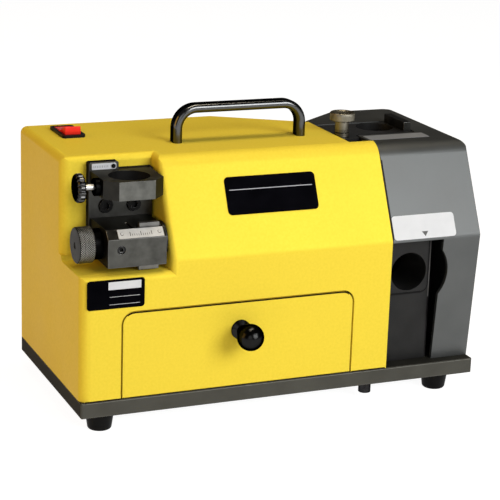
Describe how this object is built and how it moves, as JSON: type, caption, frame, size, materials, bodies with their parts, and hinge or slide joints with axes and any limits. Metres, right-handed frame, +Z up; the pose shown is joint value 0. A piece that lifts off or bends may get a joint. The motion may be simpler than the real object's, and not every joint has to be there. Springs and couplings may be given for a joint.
{
  "type": "tool and cutter grinder",
  "caption": "Bench-top end mill re-sharpener with a yellow cover, a grey wheel hood, chuck seats, a setting gauge, a parts drawer, a rocker switch and a carry handle.",
  "frame": {"origin": "on the floor, under the middle of the machine's box", "axes": "+X to the machine's right, +Y to its back, +Z up"},
  "size_m": [0.321, 0.189, 0.225],
  "materials": {
    "base_paint": "dark grey paint",
    "foot_rubber": "matt black",
    "zinc_screws": "zinc plated",
    "black_screws": "black oxide",
    "cover_yellow": "fine textured powder coat",
    "hood_grey": "satin grey paint",
    "black_paint": "black paint",
    "handle_black": "satin black",
    "switch_black": "moulded black",
    "rocker_red": "gloss red",
    "tray_grey": "grey paint",
    "knob_black": "gloss black",
    "runner_steel": "bright",
    "bright_steel": "ground",
    "nickel": "nickel plated",
    "motor_alloy": "cast",
    "winding": "varnished laminations",
    "bearing_steel": "ground",
    "wheel_alloy": "turned",
    "abrasive": "bonded abrasive",
    "gauge_oxide": "black oxide",
    "collar_black": "black oxide",
    "pad_brass": "turned",
    "strip_white": "white strip"
  },
  "bodies": {
    "machine": {"base_plate": "base_paint", "foot_front_left": "foot_rubber", "foot_front_right": "foot_rubber", "foot_rear_left": "foot_rubber", "foot_rear_right": "foot_rubber", "foot_screws": "zinc_screws", "handle_screws": "zinc_screws", "bulkhead_screws": "black_screws", "gauge_screws": "black_screws", "lock_screw": "black_screws", "index_screw": "black_screws", "cover": "cover_yellow", "hood": "hood_grey", "bulkhead": "black_paint", "front_seat": "black_paint", "top_seat": "black_paint", "seat_post": "black_paint", "motor_cradle": "black_paint", "handle": "handle_black", "switch_body": "switch_black", "power_inlet": "switch_black", "runner_left": "runner_steel", "runner_right": "runner_steel", "seat_fence": "bright_steel", "scale_plate": "bright_steel", "plunger_sleeve": "nickel", "motor_can": "motor_alloy", "motor_rear_bell": "motor_alloy", "motor_nose": "motor_alloy", "motor_stator": "winding", "bearing_rear": "bearing_steel", "bearing_front": "bearing_steel", "gauge_plate": "gauge_oxide", "gauge_ring": "gauge_oxide", "gauge_block": "gauge_oxide", "clamp_collar": "collar_black", "dial_collar": "collar_black", "index_strip": "strip_white"},
    "drawer": {"drawer_tray": "tray_grey", "drawer_front": "cover_yellow", "drawer_knob": "knob_black"},
    "rocker": {"switch_rocker": "rocker_red"},
    "spindle": {"spindle": "bright_steel", "rotor": "winding", "wheel_core": "wheel_alloy", "wheel_rim": "abrasive", "wheel_nut": "zinc_screws"},
    "plunger": {"plunger_knob": "nickel"},
    "clamp": {"clamp_knob": "knob_black"},
    "pad": {"clamp_pad": "pad_brass"},
    "dial": {"dial_knob": "gauge_oxide"},
    "stop": {"stop_plate": "bright_steel"}
  },
  "joints": [
    {"name": "drawer_slide", "type": "slide", "parent": "machine", "child": "drawer", "axis": [0, -1, 0], "range_m": [0, 0.045]},
    {"name": "rocker_tip", "type": "hinge", "parent": "machine", "child": "rocker", "pos_m": [-0.1325, 0.0595, 0.1976], "axis": [1, 0, 0], "range_deg": [0, 24]},
    {"name": "spindle_spin", "type": "hinge", "parent": "machine", "child": "spindle", "pos_m": [0.0995, 0.031, 0.0986], "axis": [1, 0, 0], "continuous": true},
    {"name": "plunger_pull", "type": "slide", "parent": "machine", "child": "plunger", "axis": [0, 0, 1], "range_m": [0, 0.006], "stiffness_N_per_m": 400, "springref_m": -0.006},
    {"name": "clamp_turn", "type": "hinge", "parent": "machine", "child": "clamp", "pos_m": [-0.1505, -0.0435, 0.17985], "axis": [1, 0, 0], "range_deg": [0, 720]},
    {"name": "pad_push", "type": "slide", "parent": "machine", "child": "pad", "axis": [1, 0, 0], "range_m": [0, 0.002]},
    {"name": "dial_turn", "type": "hinge", "parent": "machine", "child": "dial", "pos_m": [-0.1505, -0.0435, 0.138], "axis": [1, 0, 0], "range_deg": [-720, 720]},
    {"name": "stop_shift", "type": "slide", "parent": "machine", "child": "stop", "axis": [1, 0, 0], "range_m": [-0.002, 0.002]}
  ],
  "couplings": [
    {"joint": "clamp_turn", "follows": "pad_push", "rad_per_m": 6283},
    {"joint": "dial_turn", "follows": "stop_shift", "rad_per_m": 6283}
  ]
}
